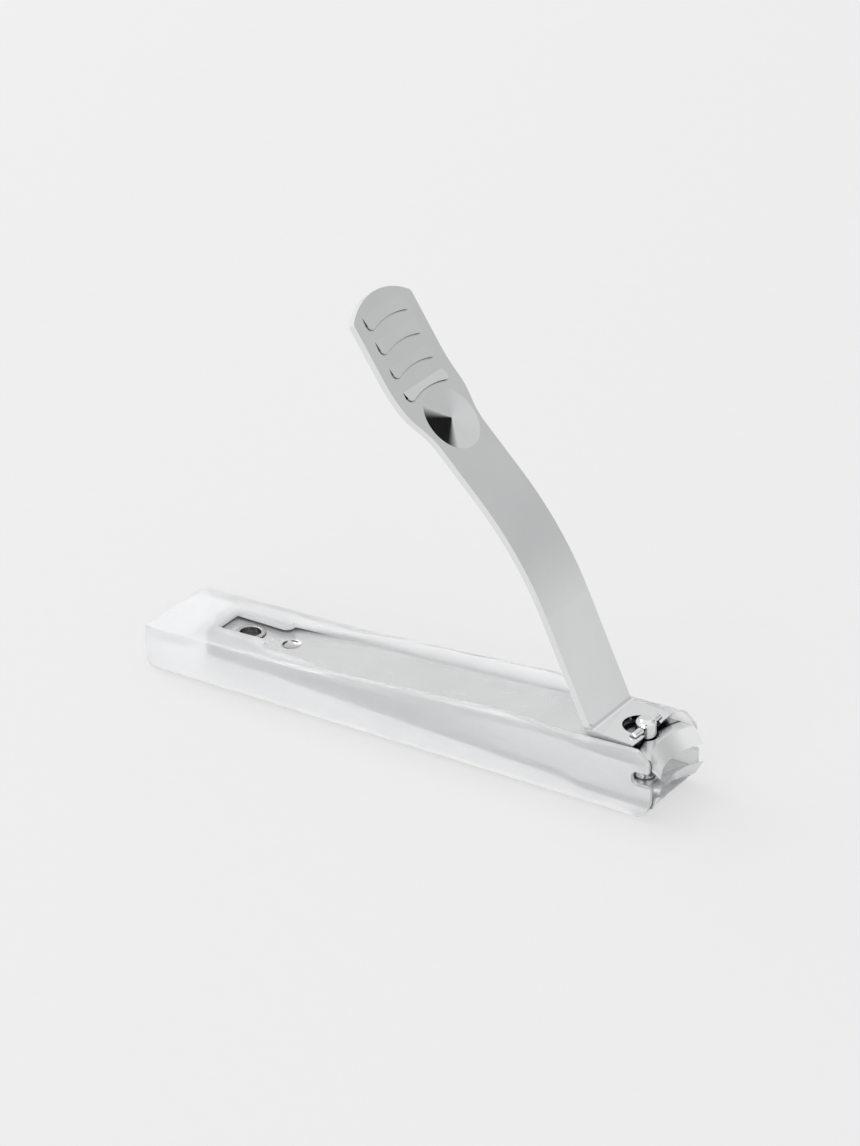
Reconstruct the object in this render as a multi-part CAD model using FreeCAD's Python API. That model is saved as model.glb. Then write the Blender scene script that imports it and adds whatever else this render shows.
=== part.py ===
import FreeCAD, Part
import math
import os

# Lever nail clipper in a clippings case, standing with the lever raised and ready to press.
# Millimetres.  +X points out of the jaws, +Z up, the lever and the jaws are symmetric in Y.
# The origin is on the surface the case stands on, below the middle of the closed outline.

# Overall
overall_length = 88.0
rear_x = -overall_length / 2
jaw_front_x = overall_length / 2

# Spring arms: flat and touching at the tail, then opening like a wedge up to the jaws
arm_thickness = 1.2
arm_width = 10.0
head_width = 12.0
tail_x = rear_x + 9.4
hinge_x = rear_x + 19.4
hinge_z = 5.2
head_start_x = jaw_front_x - 14.6
head_flare = 3.0
tail_radius = 2.5
upper_top_z = 9.45
lower_top_z = 3.1

# Jaws: both cutting edges are the same concave arc
edge_sagitta = 1.75
edge_land = 0.06
upper_edge_z = 7.05
lower_edge_z = 4.25
upper_face_run = 1.7
lower_face_run = 1.3
bevel_run = 2.2

# Pivot post and the cross pin that the lever turns on
pivot_x = jaw_front_x - 6.0
pivot_z = 10.8
post_radius = 1.5
post_running_gap = 0.05
post_swing_gap = 0.3
post_flange_radius = 2.6
post_flange_thickness = 0.55
post_top_z = 12.2
post_dome_radius = 0.9
pin_radius = 0.55
pin_half_length = 3.6
pin_running_gap = 0.03

# Lever: one strip of sheet, plate end on the jaw and thumb pad at the top
lever_thickness = 1.0
lever_neck_width = 11.0
lever_pad_width = 14.4
bend_x = jaw_front_x - 11.6
bend_z = 11.05
plate_drop = 0.3
stem_angle = 64.4
shank_angle = 44.4
pad_angle = 56.1
stem_length = 26.6
shank_length = 28.1
pad_length = 13.7
lever_reach = 70.0
bend_radius = 0.8
stem_curve_radius = 55.0
pad_curve_radius = 24.0
knuckle_radius = 1.1
fork_radius = 2.75
fork_centre_x = pivot_x - 0.65
tip_radius = 11.6
tip_corner_radius = 0.8
pad_flare_start = 10.1
pad_flare_end = 1.6

# Grip scallops on the thumb pad
scallop_count = 4
scallop_pitch = 3.76
scallop_first = -2.33
scallop_half_width = 4.95
scallop_sagitta = 0.85
scallop_height = 0.38
scallop_fade = 2.5
scallop_corner = 0.7

# Tail fasteners
eyelet_x = rear_x + 15.1
eyelet_bore_radius = 1.6
eyelet_wall = 0.3
eyelet_flange_radius = 2.3
eyelet_flange_thickness = 0.25
eyelet_flex_gap = 0.3
rivet_x = rear_x + 22.4
rivet_radius = 1.5
fastener_gap = 0.12
dimple_depth = 0.3

# Clippings case
wall = 0.8
floor_thickness = 0.9
case_rear_half_width = 7.5
case_front_half_width = 7.0
case_corner_radius = 3.2
case_front_x = jaw_front_x - 1.2
tab_underside_z = 6.9
window_rear_x = rear_x + 11.0
window_step_x = rear_x + 20.2
window_half_width = 2.6
window_step_half_width = 4.15
flange_end_x = rear_x + 38.0
notch_radius = 1.1
notch_z = 6.6
notch_depth = 2.0
case_rear_z = 7.1
rim_bend_x = rear_x + 31.4
rim_bend_z = 8.2
rim_peak_x = rear_x + 63.4
rim_peak_z = 10.85
rim_dip_x = rear_x + 72.4
rim_dip_z = 10.4
rim_corner = 2.3
rim_corner_z = 9.2
lip_setback = 0.4
case_toe_radius = 3.6
flange_end_z = 7.7
tab_round = 1.2
rib_length = 8.5
rib_offset = 3.7
rib_setback = 1.0
rib_clearance = 0.1
chain_hole_radius = 2.4
rim_round = 0.32
heel_round = 1.3
rear_round = 2.6
lip_round = 0.8
rim_bend_radius = 60.0
rim_curve_radius = 12.0


def vec(x, y, z):
    return FreeCAD.Vector(x, y, z)


def face_of(edges):
    return Part.Face(Part.Wire(Part.__sortEdges__(edges)))


def line(a, b):
    return Part.LineSegment(a, b).toShape()


def arc(a, middle, b):
    return Part.Arc(a, middle, b).toShape()


def rounded_path(points, radii):
    """Edges through points in the XZ plane, with an arc of the given radius at each inner point."""
    edges = []
    start = points[0]
    for before, corner, after, radius in zip(points, points[1:], points[2:], radii):
        back = (before - corner).normalize()
        ahead = (after - corner).normalize()
        half_turn = (math.pi - back.getAngle(ahead)) / 2
        reach = radius * math.tan(half_turn)
        depth = radius * (1 / math.cos(half_turn) - 1)
        inward = (back + ahead).normalize()
        enter = corner + back * reach
        leave = corner + ahead * reach
        edges.append(line(start, enter))
        edges.append(arc(enter, corner + inward * depth, leave))
        start = leave
    edges.append(line(start, points[-1]))
    return edges


def offset_points(points, distance):
    """The corner points of a polyline in the XZ plane moved to its left by distance."""
    normals = []
    for a, b in zip(points, points[1:]):
        along = (b - a).normalize()
        normals.append(vec(-along.z, 0, along.x))
    moved = [points[0] + normals[0] * distance]
    for corner, first, second in zip(points[1:], normals, normals[1:]):
        middle = (first + second).normalize()
        moved.append(corner + middle * (distance / middle.dot(first)))
    moved.append(points[-1] + normals[-1] * distance)
    return moved


def polygon_prism(points, low_y, high_y):
    """A prism along Y from a closed outline of (x, z) pairs."""
    corners = [vec(x, low_y, z) for x, z in points]
    outline = Part.makePolygon(corners + corners[:1])
    return Part.Face(outline).extrude(vec(0, high_y - low_y, 0))


def plan_prism(points, low_z, high_z):
    """A prism along Z from a closed outline of (x, y) pairs."""
    corners = [vec(x, y, low_z) for x, y in points]
    outline = Part.makePolygon(corners + corners[:1])
    return Part.Face(outline).extrude(vec(0, 0, high_z - low_z))


def cylinder_z(x, radius, low_z, high_z):
    return Part.makeCylinder(radius, high_z - low_z, vec(x, 0, low_z))


def cylinder_y(x, z, radius, half_length):
    return Part.makeCylinder(radius, 2 * half_length, vec(x, -half_length, z), vec(0, 1, 0))


def mirrored(shape):
    return shape.mirror(vec(0, 0, 0), vec(0, 1, 0))


def smooth_step(start, end):
    """A curve in the XY plane that leaves start and reaches end parallel to X."""
    middle = (start.x + end.x) / 2
    curve = Part.BezierCurve()
    curve.setPoles([start, vec(middle, start.y, start.z), vec(middle, end.y, end.z), end])
    return curve.toShape()


def arm_plan():
    """The arm seen from above: round at the tail and wider at the head."""
    half = arm_width / 2
    head = head_width / 2
    corner = tail_radius * (1 - math.sqrt(0.5))
    reach = jaw_front_x + 1
    round_start = vec(tail_x, half - tail_radius, 0)
    round_end = vec(tail_x + tail_radius, half, 0)
    flare_start = vec(head_start_x - head_flare, half, 0)
    flare_end = vec(head_start_x + head_flare, head, 0)
    edges = [
        line(vec(tail_x, 0, 0), round_start),
        arc(round_start, vec(tail_x + corner, half - corner, 0), round_end),
        line(round_end, flare_start),
        smooth_step(flare_start, flare_end),
        line(flare_end, vec(reach, head, 0)),
        line(vec(reach, head, 0), vec(reach, 0, 0)),
        line(vec(reach, 0, 0), vec(tail_x, 0, 0)),
    ]
    side = face_of(edges).extrude(vec(0, 0, post_top_z))
    return side.fuse(mirrored(side)).removeSplitter()


def jaw_slab(corner_x, z, rise):
    """A slab of the head with a concave front, carried along a slanted rise."""
    half = head_width / 2
    front = arc(vec(corner_x, -half, z), vec(corner_x - edge_sagitta, 0, z), vec(corner_x, half, z))
    back_near = vec(head_start_x, -half, z)
    back_far = vec(head_start_x, half, z)
    edges = [front, line(front.Vertexes[-1].Point, back_far), line(back_far, back_near),
             line(back_near, front.Vertexes[0].Point)]
    return face_of(edges).extrude(rise)


def arm(outer_z, edge_z, face_run):
    """One spring arm, from the tail to the ground cutting edge."""
    outward = 1 if outer_z > hinge_z else -1
    inner_z = outer_z - outward * arm_thickness
    tail_z = hinge_z + outward * arm_thickness
    lap_x = head_start_x + arm_thickness
    strip = polygon_prism(
        [(tail_x, hinge_z), (hinge_x, hinge_z), (head_start_x, inner_z), (lap_x, inner_z),
         (lap_x, outer_z), (head_start_x, outer_z), (hinge_x, tail_z), (tail_x, tail_z)],
        -head_width / 2, head_width / 2)
    head = jaw_slab(jaw_front_x - face_run, outer_z, vec(face_run, 0, edge_z - outer_z))
    hollow = jaw_slab(jaw_front_x - edge_land, edge_z, vec(-bevel_run, 0, inner_z - edge_z))
    return strip.fuse(head.cut(hollow)).common(arm_plan()).removeSplitter()


def lower_jaw():
    jaw = arm(lower_top_z - arm_thickness, lower_edge_z, lower_face_run)
    jaw = jaw.cut(cylinder_z(pivot_x, post_radius + post_running_gap, 0, hinge_z))
    jaw = jaw.cut(cylinder_z(eyelet_x, eyelet_bore_radius + eyelet_wall + fastener_gap, 0, hinge_z))
    return jaw.cut(cylinder_z(rivet_x, rivet_radius + fastener_gap, 0, hinge_z))


def upper_jaw():
    jaw = arm(upper_top_z, upper_edge_z, upper_face_run)
    jaw = jaw.cut(cylinder_z(pivot_x, post_radius + post_swing_gap, hinge_z, post_top_z))
    jaw = jaw.cut(cylinder_z(eyelet_x, eyelet_bore_radius + eyelet_wall, 0, post_top_z))
    return jaw.cut(cylinder_z(rivet_x, rivet_radius, 0, post_top_z))


def tail_eyelet():
    """A tubular eyelet through both arms, with a rolled flange at each end."""
    top_z = hinge_z + arm_thickness
    bottom_z = hinge_z - arm_thickness - eyelet_flex_gap
    barrel = cylinder_z(eyelet_x, eyelet_bore_radius + eyelet_wall, bottom_z, top_z)
    for flange_z in (top_z, bottom_z - eyelet_flange_thickness):
        flange = cylinder_z(eyelet_x, eyelet_flange_radius, flange_z, flange_z + eyelet_flange_thickness)
        barrel = barrel.fuse(flange)
    bore = cylinder_z(eyelet_x, eyelet_bore_radius, 0, post_top_z)
    eyelet = barrel.cut(bore).removeSplitter()
    rims = [edge for edge in eyelet.Edges if is_ring(edge, eyelet_flange_radius)
            or is_ring(edge, eyelet_bore_radius)]
    return eyelet.makeFillet(eyelet_flange_thickness * 0.4, rims)


def tail_rivet():
    """A flush rivet through both arms, with a shallow dimple in its head."""
    slope = (upper_top_z - arm_thickness - hinge_z) / (head_start_x - hinge_x)
    top_z = hinge_z + arm_thickness + (rivet_x - hinge_x) * slope
    body = cylinder_z(rivet_x, rivet_radius, hinge_z - arm_thickness, top_z)
    ball_radius = (rivet_radius ** 2 + dimple_depth ** 2) / (2 * dimple_depth)
    ball = Part.makeSphere(ball_radius, vec(rivet_x, 0, top_z + ball_radius - dimple_depth))
    return body.cut(ball)


def is_ring(edge, radius):
    return isinstance(edge.Curve, Part.Circle) and abs(edge.Curve.Radius - radius) < 1e-6


def pivot_post():
    """The post: a flange below the lower arm, a plain stem, and a domed end that holds the pin."""
    bottom_z = lower_top_z - arm_thickness
    stem = cylinder_z(pivot_x, post_radius, bottom_z, post_top_z)
    stem = stem.makeFillet(post_dome_radius, [max(stem.Edges, key=lambda edge: edge.BoundBox.ZMin)])
    flange = cylinder_z(pivot_x, post_flange_radius, bottom_z - post_flange_thickness, bottom_z)
    flange = flange.makeFillet(
        post_flange_thickness * 0.5, [min(flange.Edges, key=lambda edge: edge.BoundBox.ZMax)])
    hole = cylinder_y(pivot_x, pivot_z, pin_radius + pin_running_gap, post_flange_radius)
    return stem.fuse(flange).cut(hole).removeSplitter()


def cross_pin():
    """The short round pin through the post, with rounded ends."""
    pin = cylinder_y(pivot_x, pivot_z, pin_radius, pin_half_length)
    return pin.makeFillet(pin_radius * 0.5, [edge for edge in pin.Edges if is_ring(edge, pin_radius)])


def direction(angle):
    """A unit vector pointing back and up at an angle in degrees above -X."""
    return vec(-math.cos(math.radians(angle)), 0, math.sin(math.radians(angle)))


def face_normal(angle):
    """The unit normal of the upper side of a strip that points back and up at an angle."""
    return vec(math.sin(math.radians(angle)), 0, math.cos(math.radians(angle)))


def lever_corners():
    """The corners of the strip's upper side: plate end, bend, stem, shank and pad tip."""
    plate = vec(pivot_x, 0, bend_z - plate_drop)
    bend = vec(bend_x, 0, bend_z)
    stem = bend + direction(stem_angle) * stem_length
    shank = stem + direction(shank_angle) * shank_length
    tip = shank + direction(pad_angle) * pad_length
    return [plate, bend, stem, shank, tip]


def pad_point(u, y, out=0):
    """A point in the pad's own frame: u towards the tip, y across and out from its upper side."""
    across = vec(0, y, 0)
    return lever_corners()[3] + direction(pad_angle) * u + across + face_normal(pad_angle) * out


def lever_strip():
    """The bent strip at its full width, with curves at its three bends."""
    upper = lever_corners()
    under = offset_points(upper, lever_thickness)
    edges = rounded_path(upper, [bend_radius, stem_curve_radius, pad_curve_radius])
    edges += rounded_path(under, [bend_radius + lever_thickness, stem_curve_radius - lever_thickness,
                                  pad_curve_radius + lever_thickness])
    edges += [line(upper[0], under[0]), line(upper[-1], under[-1])]
    half = lever_pad_width / 2
    strip = face_of(edges)
    strip.translate(vec(0, -half, 0))
    return strip.extrude(vec(0, lever_pad_width, 0))


def lever_outline():
    """The strip's outline seen square to the pad, as a prism through the whole lever."""
    neck = lever_neck_width / 2
    pad = lever_pad_width / 2
    base = -lever_reach
    shoulder = pad_length - tip_radius + math.sqrt(tip_radius ** 2 - pad ** 2)
    flare = Part.BezierCurve()
    middle = -(pad_flare_start + pad_flare_end) / 2
    flare.setPoles([pad_point(-pad_flare_start, neck), pad_point(middle, neck),
                    pad_point(middle, pad), pad_point(-pad_flare_end, pad)])
    quarter = tip_radius * math.sin(math.asin(pad / tip_radius) / 2)
    quarter_u = pad_length - tip_radius + math.sqrt(tip_radius ** 2 - quarter ** 2)
    edges = [
        line(pad_point(base, 0), pad_point(base, neck)),
        line(pad_point(base, neck), pad_point(-pad_flare_start, neck)),
        flare.toShape(),
        line(pad_point(-pad_flare_end, pad), pad_point(shoulder, pad)),
        arc(pad_point(shoulder, pad), pad_point(quarter_u, quarter), pad_point(pad_length, 0)),
        line(pad_point(pad_length, 0), pad_point(base, 0)),
    ]
    through = pad_point(0, 0, lever_reach) - pad_point(0, 0)
    side = face_of(edges).extrude(through)
    corner = pad_point(shoulder, pad)
    sharp = [edge for edge in side.Edges if edge.isClosed() is False
             and edge.distToShape(Part.Vertex(corner))[0] < 1e-6
             and edge.Length > lever_reach * 0.99 and edge.Length < lever_reach * 1.01]
    side = side.makeFillet(tip_corner_radius, sharp)
    side.translate(through * -0.5)
    return side.fuse(mirrored(side)).removeSplitter()


def pad_frame(u):
    """The point on the strip's upper side at distance u along the pad, and the strip's angle there."""
    reach = pad_curve_radius * math.tan(math.radians(pad_angle - shank_angle) / 2)
    if u >= reach:
        return pad_point(u, 0), pad_angle
    angle = pad_angle - math.degrees((reach - u) / pad_curve_radius)
    centre = pad_point(reach, 0, pad_curve_radius)
    return centre - face_normal(angle) * pad_curve_radius, angle


def grip_scallop(u):
    """A raised scallop: a sharp curved step that fades into the pad towards the tip."""
    origin, angle = pad_frame(u)
    along = direction(angle)
    out = face_normal(angle)
    half = scallop_half_width

    def spot(ahead, y, lift=0):
        return origin + along * ahead + vec(0, y, 0) + out * lift

    edges = [arc(spot(0, -half), spot(scallop_sagitta, 0), spot(0, half)),
             line(spot(0, half), spot(scallop_fade, half)),
             line(spot(scallop_fade, half), spot(scallop_fade, -half)),
             line(spot(scallop_fade, -half), spot(0, -half))]
    root = lever_thickness / 2
    block = face_of(edges).extrude(out * (scallop_height + root))
    ends = [edge for edge in block.Edges if edge.distToShape(Part.Vertex(spot(0, -half)))[0] < 1e-6
            or edge.distToShape(Part.Vertex(spot(0, half)))[0] < 1e-6]
    upright = [edge for edge in ends if abs(edge.Length - scallop_height - root) < 1e-6]
    block = block.makeFillet(scallop_corner, upright)
    block.translate(out * -root)
    profile = [spot(-1, -half * 2, -root), spot(-1, -half * 2, scallop_height),
               spot(0, -half * 2, scallop_height), spot(scallop_fade, -half * 2, 0),
               spot(scallop_fade, -half * 2, -root)]
    wedge = Part.Face(Part.makePolygon(profile + profile[:1])).extrude(vec(0, half * 4, 0))
    return block.common(wedge)


def lever_knuckle():
    """The rounded end of the fork's two ears, centred on the pin so that it never cams the arm."""
    neck = lever_neck_width / 2
    plate, bend = lever_corners()[:2]
    along = (plate - bend).normalize()
    back = plate - along * knuckle_radius
    front = plate + along * knuckle_radius * 2
    barrel = cylinder_y(pivot_x, pivot_z, knuckle_radius, neck)
    below = polygon_prism([(back.x, back.z), (front.x, front.z), (front.x, 0), (back.x, 0)], -neck, neck)
    return barrel.common(below)


def lever():
    blank = lever_strip().common(lever_outline()).fuse(lever_knuckle())
    for index in range(scallop_count):
        blank = blank.fuse(grip_scallop(scallop_first + index * scallop_pitch))
    fork = cylinder_z(fork_centre_x, fork_radius, hinge_z, post_top_z)
    seat = cylinder_y(pivot_x, pivot_z, pin_radius + pin_running_gap, pin_half_length + pin_running_gap)
    return blank.removeSplitter().cut(fork).cut(seat)


def case_plan(inset):
    """The case seen from above, drawn inside its outer faces by inset, as a tall prism."""
    rear = case_rear_half_width - inset
    front = case_front_half_width - inset
    back_x = rear_x + inset
    radius = case_corner_radius - inset
    reach = jaw_front_x if inset else case_front_x
    edges = [
        line(vec(back_x, 0, 0), vec(back_x, rear - radius, 0)),
        arc(vec(back_x, rear - radius, 0),
            vec(back_x + radius * (1 - math.sqrt(0.5)), rear - radius * (1 - math.sqrt(0.5)), 0),
            vec(back_x + radius, rear, 0)),
        line(vec(back_x + radius, rear, 0), vec(reach, front, 0)),
        line(vec(reach, front, 0), vec(reach, 0, 0)),
        line(vec(reach, 0, 0), vec(back_x, 0, 0)),
    ]
    side = face_of(edges).extrude(vec(0, 0, post_top_z))
    return side.fuse(mirrored(side)).removeSplitter()


def case_profile():
    """The case seen from the side: flat base, rising rim, set-back lip and rounded toe."""
    front = case_front_x
    lip = front - lip_setback
    corners = [vec(0, 0, 0), vec(rear_x, 0, 0), vec(rear_x, 0, case_rear_z), vec(rim_bend_x, 0, rim_bend_z),
               vec(rim_peak_x, 0, rim_peak_z), vec(rim_dip_x, 0, rim_dip_z),
               vec(front - rim_corner, 0, rim_peak_z), vec(lip, 0, rim_corner_z), vec(lip, 0, notch_z),
               vec(front, 0, notch_z - notch_radius), vec(front, 0, 0), vec(0, 0, 0)]
    radii = [heel_round, rear_round, rim_bend_radius, rim_curve_radius, rim_curve_radius,
             lip_round, lip_round, lip_round / 4, lip_round / 4, case_toe_radius]
    outline = face_of(rounded_path(corners, radii))
    outline.translate(vec(0, -case_rear_half_width, 0))
    return outline.extrude(vec(0, 2 * case_rear_half_width, 0))


def case_body():
    """The outer block of the case: its rim is rounded first, then its corners and lower edges."""
    rear = case_rear_half_width
    front = case_front_half_width
    slope = (rear - front) / (case_front_x - rear_x - case_corner_radius)
    start = rear + slope * case_corner_radius
    sides = plan_prism([(rear_x, start), (case_front_x, front), (case_front_x, -front), (rear_x, -start)],
                       0, post_top_z)
    block = sides.common(case_profile())
    crown = [edge for edge in block.Edges if edge.BoundBox.ZMin > case_rear_z - rear_round + wall
             and edge.BoundBox.YLength < front and edge.BoundBox.XLength > lip_round]
    shell = case_plan(0)
    base = [edge for edge in shell.Edges if edge.BoundBox.ZMax < 1e-6
            and edge.BoundBox.XMin < case_front_x - 1e-6]
    return block.makeFillet(rim_round, crown).common(shell.makeFillet(heel_round, base))


def case_cavity():
    """The space inside the case, open at the front and under the window and the open top."""
    top = post_top_z
    back = rear_x + wall
    room = tail_x - wall
    space = polygon_prism(
        [(back, floor_thickness), (back, hinge_z), (room, hinge_z), (room, tab_underside_z),
         (window_step_x, tab_underside_z), (flange_end_x, flange_end_z), (flange_end_x, top),
         (jaw_front_x, top), (jaw_front_x, floor_thickness)], -case_rear_half_width, case_rear_half_width)
    return space.common(case_plan(wall))


def case_window():
    """The opening over the tail: narrow between two round-ended tabs, then widening to the walls."""
    narrow = window_half_width
    start = window_step_x - tab_round
    round_y = narrow + tab_round
    bulge = tab_round * math.sqrt(0.5)
    edges = [
        line(vec(window_rear_x, 0, 0), vec(window_rear_x, narrow, 0)),
        line(vec(window_rear_x, narrow, 0), vec(start, narrow, 0)),
        arc(vec(start, narrow, 0), vec(start + bulge, round_y - bulge, 0), vec(window_step_x, round_y, 0)),
        line(vec(window_step_x, round_y, 0), vec(window_step_x, window_step_half_width, 0)),
        line(vec(window_step_x, window_step_half_width, 0), vec(flange_end_x, case_front_half_width, 0)),
        line(vec(flange_end_x, case_front_half_width, 0), vec(flange_end_x, 0, 0)),
        line(vec(flange_end_x, 0, 0), vec(window_rear_x, 0, 0)),
    ]
    side = face_of(edges).extrude(vec(0, 0, post_top_z))
    side.translate(vec(0, 0, hinge_z))
    return side.fuse(mirrored(side)).removeSplitter().common(case_plan(wall))


def case_notch():
    """The round-ended slot through both walls at the front, level with the gap between the jaws."""
    centre = case_front_x - notch_depth
    low = notch_z - notch_radius
    high = notch_z + notch_radius
    half = case_rear_half_width
    mouth = polygon_prism([(centre, low), (jaw_front_x, low), (jaw_front_x, high), (centre, high)], -half, half)
    return mouth.fuse(cylinder_y(centre, notch_z, notch_radius, half)).removeSplitter()


def tail_rib(y):
    """A rib on the floor of the case that carries the tail of the lower arm."""
    height = hinge_z - arm_thickness - rib_clearance - floor_thickness
    corner = vec(tail_x + rib_setback, y - wall / 2, floor_thickness)
    return Part.makeBox(rib_length, wall, height, corner)


def catcher_case():
    """The case: a sleeve open at the front and on top, with tabs over the tail of the arms."""
    case = case_body().cut(case_cavity()).cut(case_window()).cut(case_notch())
    case = case.fuse([tail_rib(-rib_offset), tail_rib(rib_offset)])
    return case.cut(cylinder_z(eyelet_x, chain_hole_radius, 0, hinge_z)).removeSplitter()


def main():
    os.makedirs("parts", exist_ok=True)
    for make in (lower_jaw, upper_jaw, tail_eyelet, tail_rivet, pivot_post, cross_pin, lever, catcher_case):
        shape = make()
        box = shape.BoundBox
        print(make.__name__, "solids", len(shape.Solids), "valid", shape.isValid(),
              "volume", round(shape.Volume, 2),
              "x", round(box.XMin, 2), round(box.XMax, 2), "z", round(box.ZMin, 2), round(box.ZMax, 2))
        shape.exportStep("parts/" + make.__name__ + ".step")


main()
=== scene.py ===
"""The nail clipper's visual model: procedural materials, floor, light and camera around the CAD pieces."""

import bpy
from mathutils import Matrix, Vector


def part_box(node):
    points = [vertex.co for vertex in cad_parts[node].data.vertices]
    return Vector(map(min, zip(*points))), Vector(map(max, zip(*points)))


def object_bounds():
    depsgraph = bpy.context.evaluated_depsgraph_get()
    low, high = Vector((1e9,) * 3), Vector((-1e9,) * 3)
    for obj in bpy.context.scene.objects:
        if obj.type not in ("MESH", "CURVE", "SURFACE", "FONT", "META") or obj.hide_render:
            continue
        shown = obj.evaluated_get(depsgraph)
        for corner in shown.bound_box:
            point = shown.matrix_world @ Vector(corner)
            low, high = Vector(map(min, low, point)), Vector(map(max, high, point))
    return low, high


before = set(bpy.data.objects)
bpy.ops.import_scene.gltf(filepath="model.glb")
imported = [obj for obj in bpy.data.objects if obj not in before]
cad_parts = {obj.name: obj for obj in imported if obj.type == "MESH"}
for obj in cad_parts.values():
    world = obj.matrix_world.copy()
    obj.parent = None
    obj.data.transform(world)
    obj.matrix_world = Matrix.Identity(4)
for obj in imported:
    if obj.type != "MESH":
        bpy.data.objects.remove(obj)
cad_box = [list(corner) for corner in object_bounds()]

import math

import bpy
from mathutils import Vector

MM = 0.001


# ---- shader helpers ----

class Graph:
    """A node tree with short calls for the nodes used here."""

    def __init__(self, tree):
        self.tree = tree
        tree.nodes.clear()

    def add(self, kind, **settings):
        node = self.tree.nodes.new(kind)
        for name, value in settings.items():
            setattr(node, name, value)
        return node

    def feed(self, socket, value):
        """Link another node's output to a socket, or set the socket to a plain value."""
        if isinstance(value, bpy.types.NodeSocket):
            self.tree.links.new(value, socket)
        else:
            socket.default_value = value

    def math(self, operation, a, b=0.0):
        node = self.add("ShaderNodeMath", operation=operation)
        self.feed(node.inputs[0], a)
        self.feed(node.inputs[1], b)
        return node.outputs[0]

    def measure(self, operation, a, b):
        """A number from two vectors, by DOT_PRODUCT or DISTANCE."""
        node = self.add("ShaderNodeVectorMath", operation=operation)
        self.feed(node.inputs[0], a)
        self.feed(node.inputs[1], b)
        return node.outputs["Value"]

    def noise(self, where, scale, detail=3.0, roughness=0.5):
        node = self.add("ShaderNodeTexNoise")
        self.feed(node.inputs["Vector"], where)
        node.inputs["Scale"].default_value = scale
        node.inputs["Detail"].default_value = detail
        node.inputs["Roughness"].default_value = roughness
        return node.outputs["Fac"]

    def remap(self, value, low, high, to_low=0.0, to_high=1.0):
        node = self.add("ShaderNodeMapRange")
        for socket, number in zip(node.inputs, (value, low, high, to_low, to_high)):
            self.feed(socket, number)
        return node.outputs[0]

    def mix(self, factor, a, b):
        """Colour a at factor 0 and colour b at 1. The Mix node's colour sockets are found by number."""
        node = self.add("ShaderNodeMix", data_type="RGBA")
        self.feed(node.inputs[0], factor)
        self.feed(node.inputs[6], a)
        self.feed(node.inputs[7], b)
        return node.outputs[2]

    def bump(self, height, strength, distance, normal=None):
        node = self.add("ShaderNodeBump")
        node.inputs["Strength"].default_value = strength
        node.inputs["Distance"].default_value = distance
        self.feed(node.inputs["Height"], height)
        if normal is not None:
            self.feed(node.inputs["Normal"], normal)
        return node.outputs["Normal"]

    def scaled(self, where, stretch):
        node = self.add("ShaderNodeMapping")
        self.feed(node.inputs["Vector"], where)
        node.inputs["Scale"].default_value = stretch
        return node.outputs["Vector"]


def material(name):
    """A material, its graph, its Principled shader and the object's coordinates in metres."""
    made = bpy.data.materials.new(name)
    made.use_nodes = True
    graph = Graph(made.node_tree)
    shader = graph.add("ShaderNodeBsdfPrincipled")
    out = graph.add("ShaderNodeOutputMaterial")
    graph.feed(out.inputs["Surface"], shader.outputs["BSDF"])
    where = graph.add("ShaderNodeTexCoord").outputs["Object"]
    return made, graph, shader, where


# ---- metals ----

# Near-black: painted shade in tight corners, and the colour of the fine dark lines
PAINTED_SHADE_AND_LINES = (0.03, 0.03, 0.035, 1.0)
# Dark blue-grey: painted shade on metal closed in by other parts, as between the arms
PAINTED_SHADE_BETWEEN_PARTS = (0.055, 0.065, 0.08, 1.0)
CORNER_SHADE = {"reach": 0.5 * MM, "low": 0.4, "high": 0.85}  # tight corners, painted near-black as shade
CLOSED_IN_SHADE = {"reach": 4.5 * MM, "low": 0.1, "high": 0.6}   # closed-in metal, as between the arms, painted darker as shade
TARNISH_CLOUD = (0.35, 0.7)  # noise values from clean to tarnished
HANDLING = (0.3, 0.75)       # noise values from the smoothest to the roughest surface
GRAIN_LINES = (0.5, 0.8)     # noise values where the grain makes the metal rougher
GRAIN_STRENGTH = 0.35
LINE_CORE = 0.4              # how far across its half width a fine line is at its darkest
LINE_NOISE_SCALE = 900.0
LINE_BREAKS = (0.5, 0.56)    # noise values where a line with gaps stops


def sheltered(graph, reach, low, high):
    """0 where surfaces close in within the reach, rising to 1 where the surface is open."""
    shelter = graph.add("ShaderNodeAmbientOcclusion", samples=8)
    shelter.inputs["Distance"].default_value = reach
    return graph.remap(shelter.outputs["AO"], low, high)


def fine_line(graph, where, centre, radius, half_width, gaps):
    """0 on a thin round line about a point of the part, 1 elsewhere; gaps of up to 1 break it up."""
    distance = graph.measure("DISTANCE", where, centre)
    off_line = graph.math("ABSOLUTE", graph.math("SUBTRACT", distance, radius))
    clear = graph.remap(off_line, LINE_CORE * half_width, half_width)
    broken = graph.remap(graph.noise(where, LINE_NOISE_SCALE), *LINE_BREAKS, 0.0, gaps)
    return graph.math("MAXIMUM", clear, broken)


def dish(graph, where, centre, reach, depth, normal):
    """A bump that turns reflections as a shallow cone about a point would; the mesh has no such shape."""
    distance = graph.measure("DISTANCE", where, centre)
    return graph.bump(graph.remap(distance, 0.0, reach), 1.0, depth, normal)


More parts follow.
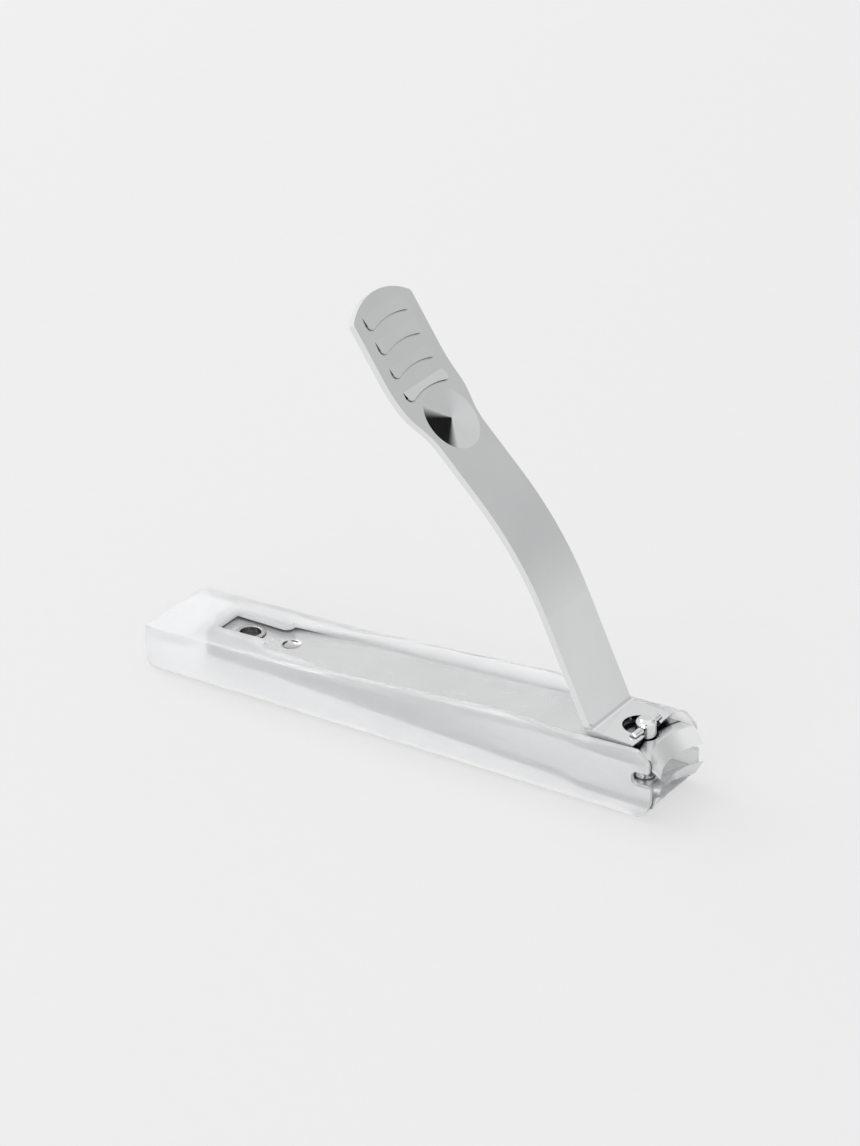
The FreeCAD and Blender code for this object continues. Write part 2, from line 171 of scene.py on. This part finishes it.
def metal(name, colour, tarnish, rough, spread, grain, grain_depth, dishes=(), lines_at=()):
    """A metal with cloudy tarnish, painted shade in tight corners and between parts, a roughness that varies
    with handling and a fine directional grain.
    """
    made, graph, shader, where = material(name)
    cloud = graph.noise(where, scale=70.0, detail=4.0)
    smudge = graph.noise(where, scale=220.0, detail=5.0, roughness=0.6)
    lines = graph.noise(graph.scaled(where, grain), scale=1.0, detail=4.0, roughness=0.65)
    clean = graph.mix(graph.remap(cloud, *TARNISH_CLOUD), (*colour, 1.0), (*tarnish, 1.0))
    # Metal closed in by other parts, as between the arms, is painted darker as shade.
    shade = graph.mix(sheltered(graph, **CLOSED_IN_SHADE), PAINTED_SHADE_BETWEEN_PARTS, clean)
    for line in lines_at:
        shade = graph.mix(fine_line(graph, where, **line), PAINTED_SHADE_AND_LINES, shade)
    # Tight corners are painted near-black as shade.
    graph.feed(shader.inputs["Base Color"], graph.mix(sheltered(graph, **CORNER_SHADE), PAINTED_SHADE_AND_LINES, shade))
    shader.inputs["Metallic"].default_value = 1.0
    polish = graph.remap(smudge, *HANDLING, rough - spread, rough + spread)
    grain_rough = graph.remap(lines, *GRAIN_LINES, 0.0, spread)
    graph.feed(shader.inputs["Roughness"], graph.math("ADD", polish, grain_rough))
    normal = graph.bump(lines, GRAIN_STRENGTH, grain_depth)
    for place in dishes:
        normal = dish(graph, where, **place, normal=normal)
    graph.feed(shader.inputs["Normal"], normal)
    return made


JAW_STEEL = {
    "colour": (0.80, 0.805, 0.81), "tarnish": (0.74, 0.745, 0.75), "rough": 0.24, "spread": 0.05,
    "grain": (60.0, 2600.0, 2600.0), "grain_depth": 0.004 * MM,
}
LEVER_CHROME = {
    "colour": (0.84, 0.845, 0.85), "tarnish": (0.79, 0.80, 0.805), "rough": 0.05, "spread": 0.02,
    "grain": (90.0, 1200.0, 90.0), "grain_depth": 0.001 * MM,
}
POST_CHROME = {
    "colour": (0.80, 0.805, 0.81), "tarnish": (0.70, 0.70, 0.70), "rough": 0.08, "spread": 0.03,
    "grain": (900.0, 900.0, 120.0), "grain_depth": 0.002 * MM,
}
FASTENER_STEEL = {
    "colour": (0.64, 0.64, 0.635), "tarnish": (0.52, 0.51, 0.50), "rough": 0.26, "spread": 0.06,
    "grain": (900.0, 900.0, 300.0), "grain_depth": 0.003 * MM,
}


def grind_line():
    """A dark arc across the upper jaw just in front of the post, like the edge of a ground face."""
    radius = 13 * MM
    past_post = 0.6 * MM
    post_low, post_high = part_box("pivot_post")
    jaw_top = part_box("upper_jaw")[1][2]
    centre = ((post_low[0] + post_high[0]) / 2 + past_post + radius, 0.0, jaw_top)
    return {"centre": centre, "radius": radius, "half_width": 0.28 * MM, "gaps": 0.0}


def rivet_ring():
    """A broken dark ring drawn round the dimple in the rivet's head."""
    low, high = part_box("tail_rivet")
    centre = ((low[0] + high[0]) / 2, (low[1] + high[1]) / 2, high[2])
    return {"centre": centre, "radius": 1.25 * MM, "half_width": 0.2 * MM, "gaps": 1.0}


def neck_dish():
    """An invented dish at the lever's neck, placed so that it mirrors the tent's small dark opening."""
    ahead_of_rear = 13.441 * MM
    off_middle = 0.3 * MM
    below_tip = 16.17 * MM
    low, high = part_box("lever")
    centre = (low[0] + ahead_of_rear, (low[1] + high[1]) / 2 + off_middle, high[2] - below_tip)
    return {"centre": centre, "reach": 4.9 * MM, "depth": 0.80 * MM}


# ---- case plastic ----

def case_plastic():
    """Milky polypropylene: light passes the thin walls but is scattered on the way."""
    made, graph, shader, where = material("milky_plastic")
    cloud = graph.noise(where, scale=90.0, detail=3.0)
    fine = graph.noise(where, scale=1800.0, detail=3.0)
    handled = graph.noise(where, scale=260.0, detail=4.0, roughness=0.6)
    bluish = (0.985, 0.99, 0.995, 1.0)
    greyish = (0.96, 0.97, 0.98, 1.0)
    graph.feed(shader.inputs["Base Color"], graph.mix(cloud, bluish, greyish))
    graph.feed(shader.inputs["Roughness"], graph.remap(handled, *HANDLING, 0.28, 0.38))
    shader.inputs["Transmission Weight"].default_value = 0.64
    shader.inputs["IOR"].default_value = 1.3
    shader.inputs["Subsurface Weight"].default_value = 0.4
    shader.inputs["Subsurface Radius"].default_value = (1.0, 1.0, 1.0)
    shader.inputs["Subsurface Scale"].default_value = 3 * MM
    graph.feed(shader.inputs["Normal"], graph.bump(fine, 0.12, 0.02 * MM))
    return made


# ---- the pieces' materials ----

def dress(node, made):
    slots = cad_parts[node].material_slots
    for slot in slots:
        slot.material = made
    if not slots:
        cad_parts[node].data.materials.append(made)


post_chrome = metal("post_chrome", **POST_CHROME)
fastener_steel = metal("fastener_steel", **FASTENER_STEEL, lines_at=[rivet_ring()])

dress("lower_jaw", metal("jaw_steel", **JAW_STEEL))
dress("upper_jaw", metal("ground_jaw_steel", **JAW_STEEL, lines_at=[grind_line()]))
dress("tail_eyelet", fastener_steel)
dress("tail_rivet", fastener_steel)
dress("pivot_post", post_chrome)
dress("cross_pin", post_chrome)
dress("lever", metal("lever_chrome", **LEVER_CHROME, dishes=[neck_dish()]))
dress("catcher_case", case_plastic())


# ---- floor ----

FLOOR_HALF = 2.0
FLOOR_GLOW = 0.57  # the floor is a light table, so shadows on it stay faint


def floor_paint():
    made, graph, shader, where = material("floor_paint")
    speck = graph.noise(where, scale=400.0, detail=2.0)
    paler = (0.21, 0.21, 0.21, 1.0)
    darker = (0.20, 0.20, 0.20, 1.0)
    graph.feed(shader.inputs["Base Color"], graph.mix(speck, paler, darker))
    shader.inputs["Emission Color"].default_value = (1.0, 1.0, 1.0, 1.0)
    shader.inputs["Emission Strength"].default_value = FLOOR_GLOW
    shader.inputs["Roughness"].default_value = 0.9
    shader.inputs["Specular IOR Level"].default_value = 0.1
    return made


floor_mesh = bpy.data.meshes.new("floor")
floor_mesh.from_pydata([(-FLOOR_HALF, -FLOOR_HALF, 0), (FLOOR_HALF, -FLOOR_HALF, 0),
                        (FLOOR_HALF, FLOOR_HALF, 0), (-FLOOR_HALF, FLOOR_HALF, 0)], [], [(0, 1, 2, 3)])
floor = bpy.data.objects.new("floor", floor_mesh)
bpy.context.scene.collection.objects.link(floor)
floor_mesh.materials.append(floor_paint())


# ---- light ----

WORLD_STRENGTH = 1.02
HORIZON_LEVEL = 0.93     # the tent's brightness at the horizon, against 1 overhead
FULL_LEVEL_HEIGHT = 0.6  # the height on a unit sphere from which the tent is at its brightest
# The tent's dark openings: azimuth, elevation, radius of the even middle and of the soft rim, all in degrees,
# and the brightness that is left in the middle.
TENT_OPENINGS = [
    (-57.0, 27.0, 7.0, 12.0, 0.05),
    (58.0, 25.0, 10.0, 34.0, 0.60),
    (122.0, 27.0, 14.0, 34.0, 0.80),
    (75.5, 19.5, 4.5, 8.5, 0.02),
]


def direction(azimuth, elevation):
    """A unit vector at an azimuth in degrees from +X towards +Y and an elevation above the floor."""
    a, e = math.radians(azimuth), math.radians(elevation)
    return (math.cos(a) * math.cos(e), math.sin(a) * math.cos(e), math.sin(e))


def studio():
    """A white tent: brighter overhead, greyer towards the horizon, with a few dark openings."""
    world = bpy.data.worlds.new("studio")
    bpy.context.scene.world = world
    world.use_nodes = True
    graph = Graph(world.node_tree)
    where = graph.add("ShaderNodeTexCoord").outputs["Generated"]
    height = graph.measure("DOT_PRODUCT", where, (0.0, 0.0, 1.0))
    light = graph.remap(height, 0.0, FULL_LEVEL_HEIGHT, HORIZON_LEVEL, 1.0)
    for azimuth, elevation, middle_radius, rim_radius, level in TENT_OPENINGS:
        nearness = graph.measure("DOT_PRODUCT", where, direction(azimuth, elevation))
        rim, middle = math.cos(math.radians(rim_radius)), math.cos(math.radians(middle_radius))
        light = graph.math("MULTIPLY", light, graph.remap(nearness, rim, middle, 1.0, level))
    background = graph.add("ShaderNodeBackground")
    graph.feed(background.inputs["Color"], light)
    background.inputs["Strength"].default_value = WORLD_STRENGTH
    out = graph.add("ShaderNodeOutputWorld")
    graph.feed(out.inputs["Surface"], background.outputs[0])


def softbox(name, place, target, size, watts):
    data = bpy.data.lights.new(name, "AREA")
    data.shape = "RECTANGLE"
    data.size, data.size_y = size
    data.energy = watts
    box = bpy.data.objects.new(name, data)
    box.location = place
    box.rotation_euler = (Vector(target) - Vector(place)).to_track_quat("-Z", "Y").to_euler()
    bpy.context.scene.collection.objects.link(box)


studio()
object_middle = (Vector(cad_box[0]) + Vector(cad_box[1])) / 2
softbox("key", place=(-0.85, 0.10, 0.80), target=object_middle, size=(0.90, 0.90), watts=7.0)
softbox("fill", place=(0.0, -0.95, 0.28), target=object_middle, size=(0.60, 0.30), watts=3.4)


# ---- camera ----

CAMERA_PLACE = (0.29697, -0.45908, 0.30367)
CAMERA_TILT = 62.929  # degrees up from straight down
CAMERA_TURN = 32.688  # degrees round from looking along +Y

lens = bpy.data.cameras.new("camera")
lens.lens = 136.19
lens.sensor_width = 36.0
lens.clip_start = 0.01
lens.clip_end = 20.0
camera = bpy.data.objects.new("camera", lens)
camera.location = CAMERA_PLACE
camera.rotation_euler = (math.radians(CAMERA_TILT), 0.0, math.radians(CAMERA_TURN))
bpy.context.scene.collection.objects.link(camera)
bpy.context.scene.camera = camera
bpy.context.scene.view_settings.view_transform = "Standard"
